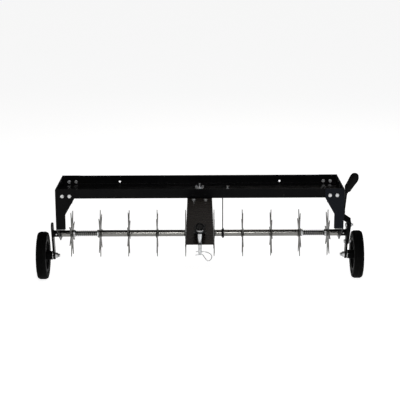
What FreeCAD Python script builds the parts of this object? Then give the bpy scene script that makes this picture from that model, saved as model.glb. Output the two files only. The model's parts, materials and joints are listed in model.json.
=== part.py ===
import FreeCAD, Part
import math
import os

# Row of star wheels
star_count = 10
star_pitch = 110.0
star_radius = 92.0
star_root_radius = 34.0
star_points = 8
star_tip_flat = 3.0
star_thickness = 3.0
star_hub_length = 12.0
star_phase_first = 30.0
star_phase_step = -23.4

# Shaft, spacer tubes and the two springs
shaft_dia = 15.9
tube_dia = 25.4
spring_wire = 3.5
spring_room = 0.35
spring_turns = 12
cup_wall = 2.5
cup_floor = 2.0
cup_depth = 6.0

# Weight tray
tray_depth = 244.0
tray_height = 35.6
tray_sheet = 2.5
tray_end_gap = 42.5
tray_above_stars = 75.4
hem_height = 12.0
tie_hole_dia = 8.0
tie_hole_fraction = 0.585

# Side plates
plate_thickness = 3.0
plate_drop = 25.0
plate_front_corner = 50.0
plate_apex_y = -10.0
flange_width = 71.0
flange_waist = 36.0
flange_waist_z = 106.0
rear_flange_end = 90.0
bushing_dia = 24.0
bushing_flange_dia = 32.0
bushing_flange = 2.0

# Tongue and hitch
tongue_width = 93.4
tongue_sheet = 3.0
tongue_flange = 18.0
tongue_reach = 622.0
tongue_tail = 170.0
tongue_bolt_lead = 28.0
tongue_bolt_half = 21.6
clevis_width = 38.0
clevis_thickness = 5.0
clevis_gap = 32.6
clevis_top_length = 99.0
clevis_rise_length = 16.0
clevis_foot_length = 54.0
pin_dia = 12.7
pin_setback = 15.0
pin_below = 21.0
ring_radius = 11.0
ring_wire = 5.0
clip_wire = 3.0
clip_above_pin_end = 8.5
clip_tilt = 38.0
clip_loop = 37.0
clip_reach = 25.0

# Centre hanger
hanger_x = 89.0
hanger_foot = 40.0
hanger_half_depth = 32.0
hanger_bushing_wall = 2.3
hanger_eye_wall = 5.0
hanger_thickness = 5.0

# Transport arms, lever and wheels
arm_radius = 100.0
arm_tilt = 16.3
arm_width = 32.0
arm_thickness = 8.0
arm_hub_dia = 26.0
arm_hub_length = 23.0
arm_top = 32.0
lever_tilt = 33.0
lever_width = 32.0
lever_thickness = 6.0
lever_foot = -45.0
lever_joggle_low = 64.0
lever_joggle_high = 92.0
lever_bend = 232.0
lever_end = 316.0
lever_splay = 19.5
lever_side_gap = 2.5
lever_bolt_up = 38.0
lever_bolt_down = -45.0
lever_swing = 125.0
grip_corner_gap = 5.0
grip_wall = 3.5
grip_thickness = 32.0
grip_cap = 5.0
wheel_radius = 93.5
wheel_width = 38.0
wheel_inset = 21.0
tyre_seat_radius = 62.0
wheel_hub_radius = 17.0
wheel_spokes = 8
wheel_bolt_dia = 12.0
wheel_bolt_tail = 18.0
wheel_bushing_dia = 18.0
washer_thickness = 3.0

# Fasteners and clearances
small_bolt = 8.0
stop_thickness = 6.0
stop_length = 30.0
stop_front_from = 112.0
stop_rear_from = 92.0
pin_cross = 5.0
running_fit = 0.05
hole_clearance = 0.4
side_play = 0.5
rest_gap = 0.2
nut_room = 1.11

# Values that follow from the ones above
star_half_row = star_pitch * (star_count - 1) / 2.0
tray_half = star_half_row + tray_end_gap
tray_half_depth = tray_depth / 2.0
floor_z = star_radius + tray_above_stars
tray_top = floor_z + tray_height
hanger_bushing_dia = tube_dia + 2 * hanger_bushing_wall
hanger_eye_radius = hanger_bushing_dia / 2.0 + hanger_eye_wall
spring_dia = shaft_dia + 2 * spring_wire + 2 * spring_room
cup_dia = spring_dia + 2 * cup_wall
plate_out = tray_half + plate_thickness
plate_half_depth = tray_half_depth + plate_thickness
bushing_out = plate_out + bushing_flange
hub_in = bushing_out + side_play
arm_in = hub_in + arm_hub_length
arm_out = arm_in + arm_thickness
lever_in = plate_out + lever_side_gap
grip_start = math.hypot(plate_half_depth, tray_top) + grip_corner_gap
wheel_in = arm_out + wheel_inset
wheel_out = wheel_in + wheel_width
wheel_y = arm_radius * math.sin(math.radians(arm_tilt))
wheel_z = -arm_radius * math.cos(math.radians(arm_tilt))
tongue_front = -tray_half_depth - tongue_reach
pin_y = tongue_front + pin_setback
strap_top = floor_z + clevis_gap + clevis_thickness
pin_end = floor_z - tongue_flange - pin_below
clip_z = pin_end + clip_above_pin_end
lever_cut = (arm_tilt + lever_tilt) / 2.0
tie_x = tray_half * tie_hole_fraction
corner_z = floor_z + tray_sheet + small_bolt * 1.6 / math.sqrt(3.0) + nut_room
corner_xs = [plate_out - 26.5, plate_out - 53.5]


def vec(x, y, z):
    return FreeCAD.Vector(x, y, z)


def box(x0, x1, y0, y1, z0, z1):
    corner = vec(min(x0, x1), min(y0, y1), min(z0, z1))
    return Part.makeBox(abs(x1 - x0), abs(y1 - y0), abs(z1 - z0), corner)


def rod(dia, start, end):
    way = end.sub(start)
    return Part.makeCylinder(dia / 2.0, way.Length, start, way)


def rod_x(dia, x0, x1, y=0.0, z=0.0):
    return rod(dia, vec(x0, y, z), vec(x1, y, z))


def ring_x(outer, inner, x0, x1, y=0.0, z=0.0):
    return rod_x(outer, x0, x1, y, z).cut(rod_x(inner, x0 - 1, x1 + 1, y, z))


def prism(points, way):
    return Part.Face(Part.makePolygon(points + [points[0]])).extrude(way)


def hexagon(across, start, way, length):
    side = across / math.sqrt(3.0)
    corners = [vec(side * math.cos(math.pi * k / 3), side * math.sin(math.pi * k / 3), 0)
               for k in range(6)]
    body = prism(corners, vec(0, 0, length))
    edge = side - across * 0.5 + 0.4
    dome = Part.makeCone(side, side - edge, edge, vec(0, 0, length - edge), vec(0, 0, 1))
    body = body.common(dome.fuse(Part.makeCylinder(side, length - edge)))
    body.Placement = FreeCAD.Placement(start, FreeCAD.Rotation(vec(0, 0, 1), way))
    return body


def bolt(dia, start, way, length):
    """Hex head on the near side of start, shank running along way."""
    unit = vec(way.x, way.y, way.z).normalize()
    head = hexagon(dia * 1.6, start, unit.negative(), dia * 0.65)
    shank = rod(dia, start, start + unit * length)
    return head.fuse(shank).removeSplitter()


def button_bolt(dia, start, way, length):
    unit = vec(way.x, way.y, way.z).normalize()
    head = Part.makeCone(dia, dia * 0.55, dia * 0.42, start, unit.negative())
    return head.fuse(rod(dia, start, start + unit * length)).removeSplitter()


def nut(dia, start, way, height=0.0):
    unit = vec(way.x, way.y, way.z).normalize()
    tall = height or dia * 0.8
    body = hexagon(dia * 1.6, start, unit, tall)
    return body.cut(rod(dia, start - unit, start + unit * (tall + 1)))


def washer(dia, start, way, thickness, outer):
    unit = vec(way.x, way.y, way.z).normalize()
    end = start + unit * thickness
    return rod(outer, start, end).cut(rod(dia, start - unit, end + unit))


def drill(shape, dia, start, end):
    return shape.cut(rod(dia + 2 * hole_clearance, start, end))


def ribbon(path, thickness):
    """Outline of a bent strip: the path given, thickened evenly, mitred at bends."""
    near = []
    far = []
    for k, (u, v) in enumerate(path):
        before = path[max(k - 1, 0)]
        after = path[min(k + 1, len(path) - 1)]
        a = math.atan2(v - before[1], u - before[0]) if k else None
        b = math.atan2(after[1] - v, after[0] - u) if k < len(path) - 1 else None
        a = b if a is None else a
        b = a if b is None else b
        mid = (a + b) / 2.0
        reach = thickness / 2.0 / math.cos((b - a) / 2.0)
        near.append((u - reach * math.sin(mid), v + reach * math.cos(mid)))
        far.append((u + reach * math.sin(mid), v - reach * math.cos(mid)))
    return near + far[::-1]


def slot_x(p0, p1, radius, x0, x1):
    """Round-ended plate between two points of the YZ plane."""
    y0, z0 = p0
    y1, z1 = p1
    length = math.hypot(y1 - y0, z1 - z0)
    uy = (z1 - z0) / length * radius
    uz = -(y1 - y0) / length * radius
    corners = [vec(x0, y0 + uy, z0 + uz), vec(x0, y1 + uy, z1 + uz),
               vec(x0, y1 - uy, z1 - uz), vec(x0, y0 - uy, z0 - uz)]
    body = prism(corners, vec(x1 - x0, 0, 0))
    for y, z in (p0, p1):
        body = body.fuse(rod_x(2 * radius, x0, x1, y, z))
    return body.removeSplitter()


def round_edges(shape, radius, chosen):
    edges = [edge for edge in shape.Edges if chosen(edge)]
    return shape.makeFillet(radius, edges)


def runs_along(edge, axis):
    ends = [v.Point for v in edge.Vertexes]
    if len(ends) < 2:
        return False
    way = ends[1].sub(ends[0])
    return way.Length > 1e-6 and abs(way.normalize().dot(axis)) > 0.999


def tilted(shape, tilt):
    turned = shape.copy()
    turned.rotate(vec(0, 0, 0), vec(1, 0, 0), tilt)
    return turned


def arm_point(along, tilt):
    angle = math.radians(tilt)
    return (-along * math.sin(angle), along * math.cos(angle))


def mirrored(shape):
    return shape.mirror(vec(0, 0, 0), vec(1, 0, 0))


def both_sides(make):
    right = make()
    return Part.makeCompound([mirrored(right), right])


# ---------------------------------------------------------------- star row

def star_x(index):
    return -star_half_row + index * star_pitch


def star_wheel(index):
    points = []
    for k in range(star_points):
        tip = 2 * math.pi * k / star_points
        half = star_tip_flat / 2.0 / star_radius
        for angle, radius in ((tip - half, star_radius), (tip + half, star_radius),
                              (tip + math.pi / star_points, star_root_radius)):
            points.append(vec(-star_thickness / 2.0, radius * math.sin(angle),
                              radius * math.cos(angle)))
    plate = prism(points, vec(star_thickness, 0, 0))
    half_hub = star_hub_length / 2.0
    body = plate.fuse(rod_x(tube_dia, -half_hub, half_hub))
    body = body.cut(rod_x(shaft_dia + 2 * running_fit, -half_hub - 1, half_hub + 1))
    body = tilted(body.removeSplitter(), -(star_phase_first + star_phase_step * index))
    body.translate(vec(star_x(index), 0, 0))
    return body


def row_gap(index):
    """Free span between one star's hub and the next, side play taken off."""
    reach = star_hub_length / 2.0 + side_play
    return star_x(index) + reach, star_x(index + 1) - reach


def shaft():
    body = rod_x(shaft_dia, -arm_out, arm_out)
    for side in (-1, 1):
        x = side * (hub_in + arm_hub_length / 2.0)
        body = body.cut(rod(pin_cross, vec(x, -shaft_dia, 0), vec(x, shaft_dia, 0)))
    return body


def spacer_tubes():
    tubes = []
    for index in range(1, star_count - 2):
        x0, x1 = row_gap(index)
        tubes.append(ring_x(tube_dia, shaft_dia, x0, x1))
    x0 = -tray_half + bushing_flange + side_play
    x1 = -star_half_row - star_hub_length / 2.0 - side_play
    end_tube = ring_x(tube_dia, shaft_dia, x0, x1)
    return Part.makeCompound([end_tube] + tubes + [mirrored(end_tube)])


def spring_right():
    x0, x1 = row_gap(star_count - 2)
    low = x0 + cup_floor + spring_wire / 2.0
    high = x1 - cup_floor - spring_wire / 2.0
    radius = (spring_dia - spring_wire) / 2.0
    pitch = (high - low) / spring_turns
    helix = Part.makeHelix(pitch, high - low, radius)
    section = Part.Wire(Part.makeCircle(spring_wire / 2.0, vec(radius, 0, 0), vec(0, 1, 0)))
    coil = Part.Wire(helix).makePipeShell([section], True, True)
    coil.rotate(vec(0, 0, 0), vec(0, 1, 0), 90)
    coil.translate(vec(low, 0, 0))
    return coil


def spring_left():
    return mirrored(spring_right())


def spring_cups():
    x0, x1 = row_gap(star_count - 2)
    cups = []
    for face, way in ((x0, 1), (x1, -1)):
        cup = rod_x(cup_dia, face, face + way * cup_depth)
        cup = cup.cut(rod_x(spring_dia + 0.6, face + way * cup_floor, face + way * (cup_depth + 1)))
        cup = cup.cut(rod_x(shaft_dia, face - way, face + way * (cup_depth + 1)))
        cups.append(cup)
    return Part.makeCompound([mirrored(cup) for cup in cups] + cups)


# ---------------------------------------------------------------- weight tray and frame

def corner_points():
    """Where the corner bolts cross the tray walls: x, wall side."""
    return [(side * x, wall) for wall in (-1, 1) for side in (-1, 1) for x in corner_xs]


def centre_bolt_spot():
    return vec(0, 0, floor_z)


def hanger_bolt_spot():
    return vec(hanger_x + hanger_foot * 0.46, 0, floor_z)


def tray_pan():
    outer = box(-tray_half, tray_half, -tray_half_depth, tray_half_depth, floor_z, tray_top)
    outer = round_edges(outer, 4.0, lambda e: runs_along(e, vec(1, 0, 0))
                        and e.CenterOfMass.z < floor_z + 1)
    inner = box(-tray_half + tray_sheet, tray_half - tray_sheet,
                -tray_half_depth + tray_sheet, tray_half_depth - tray_sheet,
                floor_z + tray_sheet, tray_top + 1)
    inner = round_edges(inner, 4.0 - tray_sheet, lambda e: runs_along(e, vec(1, 0, 0))
                        and e.CenterOfMass.z < floor_z + tray_sheet + 1)
    body = outer.cut(inner)
    for wall in (-1, 1):
        y0 = wall * (tray_half_depth - tray_sheet)
        hem = box(-tray_half + tray_sheet, tray_half - tray_sheet, y0,
                  y0 - wall * tray_sheet, tray_top - hem_height, tray_top)
        body = body.fuse(hem)
        for side in (-1, 1):
            x = side * tie_x
            start = vec(x, wall * (tray_half_depth - 9), corner_z)
            body = body.cut(rod(tie_hole_dia, start, start + vec(0, wall * 12, 0)))
    for x, wall in corner_points():
        start = vec(x, wall * (tray_half_depth - 9), corner_z)
        body = drill(body, small_bolt, start, start + vec(0, wall * 12, 0))
    for spot in (centre_bolt_spot(), hanger_bolt_spot()):
        body = drill(body, small_bolt, spot - vec(0, 0, 2), spot + vec(0, 0, 6))
    return body.removeSplitter()


def side_plate_right():
    half = plate_half_depth
    apex = vec(tray_half, plate_apex_y, -plate_drop)
    outline = [vec(tray_half, -half, tray_top), vec(tray_half, half, tray_top),
               vec(tray_half, half, -plate_drop), apex,
               vec(tray_half, -half, plate_front_corner)]
    body = prism(outline, vec(plate_thickness, 0, 0))
    for wall, end in ((-1, plate_front_corner), (1, rear_flange_end)):
        y = wall * half
        inner = plate_out - flange_width
        waist = plate_out - flange_waist
        gusset = [vec(plate_out, y, tray_top), vec(inner, y, tray_top),
                  vec(inner, y, floor_z), vec(waist, y, flange_waist_z),
                  vec(waist, y, end), vec(plate_out, y, end)]
        body = body.fuse(prism(gusset, vec(0, -wall * plate_thickness, 0)))
    body = body.removeSplitter()
    for wall in (-1, 1):
        for x in corner_xs:
            start = vec(x, wall * (tray_half_depth - 1), corner_z)
            body = drill(body, small_bolt, start, start + vec(0, wall * 6, 0))
    return body.cut(rod_x(bushing_dia, tray_half - 1, plate_out + 1))


def side_plate_left():
    return mirrored(side_plate_right())


def corner_bolts():
    return Part.makeCompound([bolt(small_bolt, vec(x, wall * plate_half_depth, corner_z),
                                   vec(0, -wall, 0), 18.0) for x, wall in corner_points()])


def corner_nuts():
    inside = tray_half_depth - tray_sheet
    return Part.makeCompound([nut(small_bolt, vec(x, wall * inside, corner_z),
                                  vec(0, -wall, 0)) for x, wall in corner_points()])


def flanged_bushing(bore, body_dia, flange_dia, x0, x1, flange_end):
    body = rod_x(body_dia, x0, x1).fuse(rod_x(flange_dia, x1, flange_end))
    return body.cut(rod_x(bore + 2 * running_fit, x0 - 1, flange_end + 1)).removeSplitter()


def shaft_bushing():
    return flanged_bushing(shaft_dia, bushing_dia, bushing_flange_dia,
                           tray_half - bushing_flange, plate_out, bushing_out)


def hanger():
    x0 = hanger_x - hanger_thickness / 2.0
    x1 = x0 + hanger_thickness
    half = hanger_half_depth
    eye = hanger_eye_radius
    outline = [vec(x0, -half, floor_z), vec(x0, half, floor_z), vec(x0, half, floor_z - 30),
               vec(x0, eye, 0), vec(x0, -eye, 0), vec(x0, -half, floor_z - 30)]
    body = prism(outline, vec(plate_thickness, 0, 0)).fuse(rod_x(2 * eye, x0, x1))
    foot = box(x0, x0 + hanger_foot, -half, half, floor_z - plate_thickness, floor_z)
    body = body.fuse(foot).removeSplitter()
    body = body.cut(rod_x(hanger_bushing_dia, x0 - 1, x1 + 1))
    spot = hanger_bolt_spot()
    return drill(body, small_bolt, spot - vec(0, 0, 6), spot + vec(0, 0, 2))


def hanger_bushing():
    x0 = hanger_x - hanger_thickness / 2.0
    x1 = x0 + hanger_thickness
    return flanged_bushing(tube_dia, hanger_bushing_dia, hanger_bushing_dia + 4,
                           x0 - 3, x1, x1 + 2)


def hanger_bolt():
    spot = hanger_bolt_spot() - vec(0, 0, plate_thickness)
    return bolt(small_bolt, spot, vec(0, 0, 1), 22.0)


def hanger_nut():
    return nut(small_bolt, hanger_bolt_spot() + vec(0, 0, tray_sheet), vec(0, 0, 1))


# ---------------------------------------------------------------- tongue and hitch

def channel(width, y0, y1, top, flange, sheet):
    half = width / 2.0
    outer = box(-half, half, y0, y1, top - flange, top)
    outer = round_edges(outer, sheet + 1.0, lambda e: runs_along(e, vec(0, 1, 0))
                        and e.CenterOfMass.z > top - 1)
    inner = box(-half + sheet, half - sheet, y0 - 1, y1 + 1, top - flange - 1, top - sheet)
    inner = round_edges(inner, 1.0, lambda e: runs_along(e, vec(0, 1, 0))
                        and e.CenterOfMass.z > top - sheet - 1)
    return outer.cut(inner)


def tongue_bolt_spots():
    y = -plate_half_depth - tongue_bolt_lead
    return [vec(-tongue_bolt_half, y, floor_z), vec(tongue_bolt_half, y, floor_z)]


def clevis_bolt_spots():
    back = tongue_front + clevis_top_length + clevis_rise_length
    return [vec(0, back + clevis_foot_length * part, floor_z) for part in (0.32, 0.76)]


def tongue():
    body = channel(tongue_width, tongue_front, -tray_half_depth + tongue_tail,
                   floor_z, tongue_flange, tongue_sheet)
    for spot in tongue_bolt_spots() + clevis_bolt_spots() + [centre_bolt_spot()]:
        body = drill(body, small_bolt, spot - vec(0, 0, 6), spot + vec(0, 0, 2))
    body = drill(body, pin_dia, vec(0, pin_y, floor_z - 6), vec(0, pin_y, floor_z + 2))
    return round_edges(body, 8.0, lambda e: runs_along(e, vec(1, 0, 0))
                       and e.CenterOfMass.y < tongue_front + 0.1
                       and e.CenterOfMass.z < floor_z - tongue_flange + 0.1)


def tongue_stiffener():
    top = floor_z - tongue_sheet
    body = channel(tongue_width - 2 * tongue_sheet, -plate_half_depth - 2 * tongue_bolt_lead,
                   -tray_half_depth + tongue_tail - 10, top, 12.0, tongue_sheet)
    for spot in tongue_bolt_spots() + [centre_bolt_spot()]:
        body = drill(body, small_bolt, spot - vec(0, 0, 9), spot)
    return body


def tongue_bolts():
    return Part.makeCompound([bolt(small_bolt, spot, vec(0, 0, -1), 17.0)
                              for spot in tongue_bolt_spots()])


def tongue_nuts():
    return Part.makeCompound([nut(small_bolt, spot - vec(0, 0, 2 * tongue_sheet), vec(0, 0, -1))
                              for spot in tongue_bolt_spots()])


def centre_bolt():
    start = centre_bolt_spot() - vec(0, 0, 2 * tongue_sheet)
    return bolt(small_bolt, start, vec(0, 0, 1), 36.0)


def centre_washer():
    start = centre_bolt_spot() + vec(0, 0, tray_sheet)
    return washer(small_bolt, start, vec(0, 0, 1), 2.0, 24.0)


def wing_nut():
    base = floor_z + tray_sheet + 2.0
    body = Part.makeCone(8.5, 6.5, 10.0, vec(0, 0, base), vec(0, 0, 1))
    for side in (-1, 1):
        low = vec(side * 8.5, -2, base + 7)
        high = vec(side * 12.0, -2, base + 12)
        wing = rod(9.0, low, low + vec(0, 4, 0)).fuse(rod(11.0, high, high + vec(0, 4, 0)))
        body = body.fuse(wing)
    body = body.cut(rod(small_bolt, vec(0, 0, base - 1), vec(0, 0, base + 30)))
    return body.removeSplitter()


def clevis_strap():
    half = clevis_width / 2.0
    low = floor_z + clevis_thickness / 2.0
    high = low + clevis_gap
    top_back = tongue_front + clevis_top_length
    foot_front = top_back + clevis_rise_length
    path = [(tongue_front, high), (top_back, high), (foot_front, low),
            (foot_front + clevis_foot_length, low)]
    outline = [vec(-half, y, z) for y, z in ribbon(path, clevis_thickness)]
    body = prism(outline, vec(clevis_width, 0, 0))
    for spot in clevis_bolt_spots():
        body = drill(body, small_bolt, spot - vec(0, 0, 2), spot + vec(0, 0, 9))
    body = drill(body, pin_dia, vec(0, pin_y, floor_z + 9), vec(0, pin_y, strap_top + 2))
    return round_edges(body, 9.0, lambda e: runs_along(e, vec(0, 0, 1))
                       and e.CenterOfMass.y < tongue_front + 0.1)


def clevis_bolts():
    return Part.makeCompound([bolt(small_bolt, spot + vec(0, 0, clevis_thickness),
                                   vec(0, 0, -1), 20.0) for spot in clevis_bolt_spots()])


def clevis_nuts():
    return Part.makeCompound([nut(small_bolt, spot - vec(0, 0, tongue_sheet), vec(0, 0, -1))
                              for spot in clevis_bolt_spots()])


def pin_collar():
    return rod(pin_dia + 9.3, vec(0, pin_y, strap_top), vec(0, pin_y, strap_top + 4))


def pin_handle():
    """Pull ring standing on the pin's collar."""
    centre = vec(0, pin_y, strap_top + ring_radius + ring_wire / 2.0 + 1.5)
    loop = Part.makeTorus(ring_radius, ring_wire / 2.0, centre, vec(0, 1, 0))
    return loop.cut(pin_collar())


def hitch_pin():
    shank = rod(pin_dia, vec(0, pin_y, pin_end + 3), vec(0, pin_y, strap_top))
    nose = Part.makeCone(pin_dia / 2.0 - 2.5, pin_dia / 2.0, 3.0, vec(0, pin_y, pin_end),
                         vec(0, 0, 1))
    body = shank.fuse([nose, pin_collar()])
    hole = clip_wire + 2 * hole_clearance
    cross = rod(hole, vec(-pin_dia, pin_y, clip_z), vec(pin_dia, pin_y, clip_z))
    return body.cut(cross).removeSplitter()


def hair_pin():
    """Spring clip: straight leg through the pin, bowed leg passing outside it."""
    half = pin_dia / 2.0 + clip_wire / 2.0 + hole_clearance
    lip = half / math.cos(math.radians(clip_tilt)) + 0.6
    bow = lip + 2.4
    leg = pin_dia + 1.0
    side = half
    loop = clip_loop
    far = leg + clip_reach
    path = [(-leg, 0), (-side, 0), (0, 0), (side, 0), (leg, 0), (leg + 7.0, 1.5),
            (far - 9.0, 0.16 * loop), (far - 2.5, 0.32 * loop), (far, 0.54 * loop),
            (far - 2.0, 0.80 * loop), (far - 7.5, 0.96 * loop), (far - 13.5, loop),
            (far - 18.5, 0.86 * loop), (leg + 1.0, 0.60 * loop), (side + 1.5, lip + 2.0),
            (side - 1.5, lip), (0, bow), (-side, lip), (-leg, bow + 1.0)]
    slope = math.radians(clip_tilt)
    points = [vec(u, pin_y - v * math.cos(slope), clip_z - v * math.sin(slope))
              for u, v in path]
    spine = Part.makePolygon(points)
    section = Part.Wire(Part.makeCircle(clip_wire / 2.0, points[0], points[1].sub(points[0])))
    return spine.makePipeShell([section], True, False, 1)


# ---------------------------------------------------------------- transport arms and lever

def lever_bolt_spots():
    return [arm_point(along, lever_cut) for along in (lever_bolt_up, lever_bolt_down)]


def arm_right():
    top = arm_point(arm_top, arm_tilt)
    low = arm_point(-arm_radius, arm_tilt)
    body = slot_x(top, low, arm_width / 2.0, arm_in, arm_out)
    body = body.fuse(rod_x(arm_hub_dia, hub_in, arm_in)).removeSplitter()
    body = body.cut(rod_x(shaft_dia, hub_in - 1, arm_out + 1))
    body = body.cut(rod_x(wheel_bolt_dia, arm_in - 1, arm_out + 1, wheel_y, wheel_z))
    x = hub_in + arm_hub_length / 2.0
    return body.cut(rod(pin_cross, vec(x, -arm_hub_dia, 0), vec(x, arm_hub_dia, 0)))


def arm_left():
    return mirrored(arm_right())


def arm_right_drilled():
    body = arm_right()
    for y, z in lever_bolt_spots():
        body = drill(body, small_bolt, vec(arm_in - 1, y, z), vec(arm_out + 1, y, z))
    return body


def arm_pin():
    x = hub_in + arm_hub_length / 2.0
    reach = arm_hub_dia / 2.0 + 1.0
    return rod(pin_cross, vec(x, -reach, 0), vec(x, reach, 0))


def lever_path():
    """Strip centre line, as (x, distance from the shaft)."""
    low = arm_out + lever_thickness / 2.0
    high = lever_in + lever_thickness / 2.0
    return [(low, lever_foot - lever_width / 2.0), (low, lever_joggle_low),
            (high, lever_joggle_high), (high, lever_bend), lever_axis(lever_end)]


def lever_axis(along):
    high = lever_in + lever_thickness / 2.0
    return (high + (along - lever_bend) * math.tan(math.radians(lever_splay)), along)


def strip(path, thickness, width, low, high):
    """Bent strip standing upright, both ends rounded."""
    outline = [vec(x, -width / 2.0, z) for x, z in ribbon(path, thickness)]
    body = prism(outline, vec(0, width, 0))
    radius = width / 2.0
    return body.common(slot_x((0, low + radius), (0, high - radius), radius,
                              arm_in - 60, arm_in + 90))


def lever_upright():
    path = lever_path()
    return strip(path, lever_thickness, lever_width, path[0][1], lever_end)


def lever():
    body = tilted(lever_upright(), lever_tilt)
    for y, z in lever_bolt_spots():
        body = drill(body, small_bolt, vec(arm_out - 1, y, z),
                     vec(arm_out + lever_thickness + 1, y, z))
    return body


def lever_grip():
    width = lever_width + 2 * grip_wall
    path = [lever_axis(grip_start), lever_axis(lever_end + grip_cap)]
    low = grip_start - width
    body = strip(path, grip_thickness, width, low, lever_end + grip_cap)
    return tilted(body.cut(lever_upright()), lever_tilt)


def lever_bolts():
    grip = arm_thickness + lever_thickness
    ends = (grip + 12.0, grip + 8.0)
    return Part.makeCompound([bolt(small_bolt, vec(arm_in, y, z), vec(1, 0, 0), length)
                              for (y, z), length in zip(lever_bolt_spots(), ends)])


def lever_nuts():
    x = arm_out + lever_thickness
    return Part.makeCompound([nut(small_bolt, vec(x, y, z), vec(1, 0, 0))
                              for y, z in lever_bolt_spots()])


def stop_block(tilt, side, start):
    """Block welded to the side plate, on the lever's leading edge at one end of its swing."""
    face = side * (lever_width / 2.0 + rest_gap)
    outer = face + side * stop_thickness
    body = box(plate_out, lever_in + lever_thickness, face, outer, start, start + stop_length)
    return tilted(body, tilt)


def stop_front():
    return stop_block(lever_tilt, -1, stop_front_from)


def stop_rear():
    return stop_block(lever_tilt - lever_swing, 1, stop_rear_from)


# ---------------------------------------------------------------- wheels

def turned(points):
    """Solid of revolution about the wheel axle from (x, radius) points and arcs."""
    edges = []
    for start, end in zip(points, points[1:] + points[:1]):
        a = vec(start[0], 0, start[1])
        b = vec(end[0], 0, end[1])
        if len(start) == 4:
            edges.append(Part.Arc(a, vec(start[2], 0, start[3]), b).toShape())
        else:
            edges.append(Part.makeLine(a, b))
    face = Part.Face(Part.Wire(edges))
    body = face.revolve(vec(0, 0, 0), vec(1, 0, 0), 360)
    body.translate(vec(0, wheel_y, wheel_z))
    return body


def tyre_right():
    seat = tyre_seat_radius
    top = wheel_radius
    x0 = wheel_in
    x1 = wheel_out
    lip = 6.0
    return turned([(x0 + lip, seat), (x0 + lip, seat + 4), (x0 + 1.5, seat + 8),
                   (x0, top - 13, x0 + 3, top - 4), (x0 + 10, top), (x1 - 10, top, x1 - 3, top - 4),
                   (x1, top - 13), (x1 - 1.5, seat + 8), (x1 - lip, seat + 4), (x1 - lip, seat)])


def rim_right():
    seat = tyre_seat_radius
    x0 = wheel_in + 2
    x1 = wheel_out - 2
    mid = (x0 + x1) / 2.0
    hub0 = arm_out + washer_thickness + side_play
    hub1 = wheel_out - 8.0
    barrel = turned([(x0, seat - 6), (x1, seat - 6), (x1, seat + 4), (x1 - 4, seat + 4),
                     (x1 - 4, seat), (x0 + 4, seat), (x0 + 4, seat + 4), (x0, seat + 4)])
    web = turned([(mid - 2, wheel_hub_radius - 2), (mid + 2, wheel_hub_radius - 2),
                  (mid + 2, seat - 4), (mid - 2, seat - 4)])
    hub = ring_x(2 * wheel_hub_radius, wheel_bushing_dia, hub0, hub1, wheel_y, wheel_z)
    body = barrel.fuse([web, hub])
    for k in range(wheel_spokes):
        rib = box(x0 + 5, x1 - 5, -2, 2, wheel_hub_radius - 2, seat - 4)
        rib.rotate(vec(0, 0, 0), vec(1, 0, 0), 360.0 * k / wheel_spokes)
        rib.translate(vec(0, wheel_y, wheel_z))
        body = body.fuse(rib)
    return body.removeSplitter()


def wheel_bushing_right():
    hub0 = arm_out + washer_thickness + side_play
    hub1 = wheel_out - 8.0
    return ring_x(wheel_bushing_dia, wheel_bolt_dia + 2 * running_fit, hub0, hub1,
                  wheel_y, wheel_z)


def wheel_bolt():
    head_face = wheel_out - 8.0 + side_play + 1.5
    body = rod_x(wheel_bolt_dia, arm_in - wheel_bolt_tail, head_face, wheel_y, wheel_z)
    head = hexagon(18.0, vec(head_face, wheel_y, wheel_z), vec(1, 0, 0), wheel_out - head_face)
    return body.fuse(head).removeSplitter()


def wheel_nut():
    return nut(wheel_bolt_dia, vec(arm_in, wheel_y, wheel_z), vec(-1, 0, 0))


def wheel_washers():
    outer_face = wheel_out - 8.0 + side_play
    inner = washer(wheel_bolt_dia, vec(arm_out, wheel_y, wheel_z), vec(1, 0, 0),
                   washer_thickness, 28.0)
    outer = washer(wheel_bolt_dia, vec(outer_face, wheel_y, wheel_z), vec(1, 0, 0), 1.5, 26.0)
    return Part.makeCompound([mirrored(inner), inner, mirrored(outer), outer])


# ---------------------------------------------------------------- whole machine

def parts_list():
    parts = {
        "tray_pan": tray_pan(),
        "side_plate_left": side_plate_left(),
        "side_plate_right": side_plate_right(),
        "corner_bolts": corner_bolts(),
        "corner_nuts": corner_nuts(),
        "shaft_bushings": both_sides(shaft_bushing),
        "hanger": hanger(),
        "hanger_bushing": hanger_bushing(),
        "hanger_bolt": hanger_bolt(),
        "hanger_nut": hanger_nut(),
        "tongue": tongue(),
        "tongue_stiffener": tongue_stiffener(),
        "tongue_bolts": tongue_bolts(),
        "tongue_nuts": tongue_nuts(),
        "centre_bolt": centre_bolt(),
        "centre_washer": centre_washer(),
        "wing_nut": wing_nut(),
        "clevis_strap": clevis_strap(),
        "clevis_bolts": clevis_bolts(),
        "clevis_nuts": clevis_nuts(),
        "stop_front": stop_front(),
        "stop_rear": stop_rear(),
        "hitch_pin": hitch_pin(),
        "pin_handle": pin_handle(),
        "hair_pin": hair_pin(),
        "shaft": shaft(),
        "spacer_tubes": spacer_tubes(),
        "spring_left": spring_left(),
        "spring_right": spring_right(),
        "spring_cups": spring_cups(),
        "arm_left": arm_left(),
        "arm_right": arm_right_drilled(),
        "arm_pins": both_sides(arm_pin),
        "lever": lever(),
        "lever_grip": lever_grip(),
        "lever_bolts": lever_bolts(),
        "lever_nuts": lever_nuts(),
        "wheel_bolts": both_sides(wheel_bolt),
        "wheel_nuts": both_sides(wheel_nut),
        "wheel_washers": wheel_washers(),
        "tyre_left": mirrored(tyre_right()),
        "tyre_right": tyre_right(),
        "rim_left": mirrored(rim_right()),
        "rim_right": rim_right(),
        "wheel_bushing_left": mirrored(wheel_bushing_right()),
        "wheel_bushing_right": wheel_bushing_right(),
    }
    for index in range(star_count):
        parts["star_%02d" % (index + 1)] = star_wheel(index)
    return parts


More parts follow.
